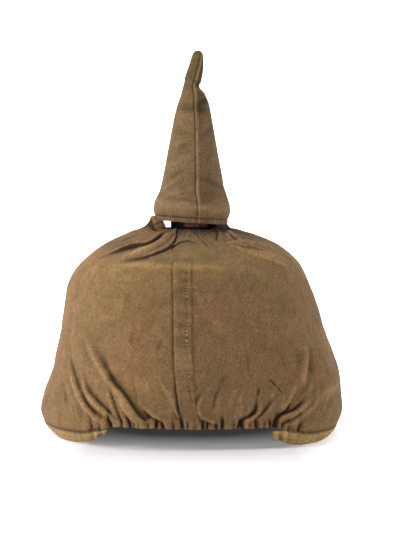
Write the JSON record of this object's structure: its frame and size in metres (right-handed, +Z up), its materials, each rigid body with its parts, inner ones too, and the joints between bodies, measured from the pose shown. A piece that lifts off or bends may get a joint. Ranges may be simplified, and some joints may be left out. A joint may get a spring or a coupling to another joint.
{
  "type": "spiked helmet",
  "caption": "Spiked leather helmet with front visor and neck guard, wearing a gathered cotton body cover and a separate cotton spike cover; stands on its hem.",
  "frame": {"origin": "middle of the outline on the surface the helmet stands on", "axes": "+Z up along the spike, -Y to the front visor, +Y to the nape, +X to the wearer's left"},
  "size_m": [0.208, 0.2762, 0.2614],
  "materials": {
    "cloth": "worn khaki cotton twill",
    "tape": "yellower cotton tape",
    "leather": "blackened leather, plain",
    "metal": "black painted metal, plain"
  },
  "bodies": {
    "root": {"shell": "leather", "front_visor": "leather", "neck_guard": "leather", "spike": "metal", "cover_left_panel": "cloth", "cover_right_panel": "cloth", "hem_band_left": "tape", "hem_band_right": "tape", "spike_cover": "cloth"}
  },
  "joints": []
}
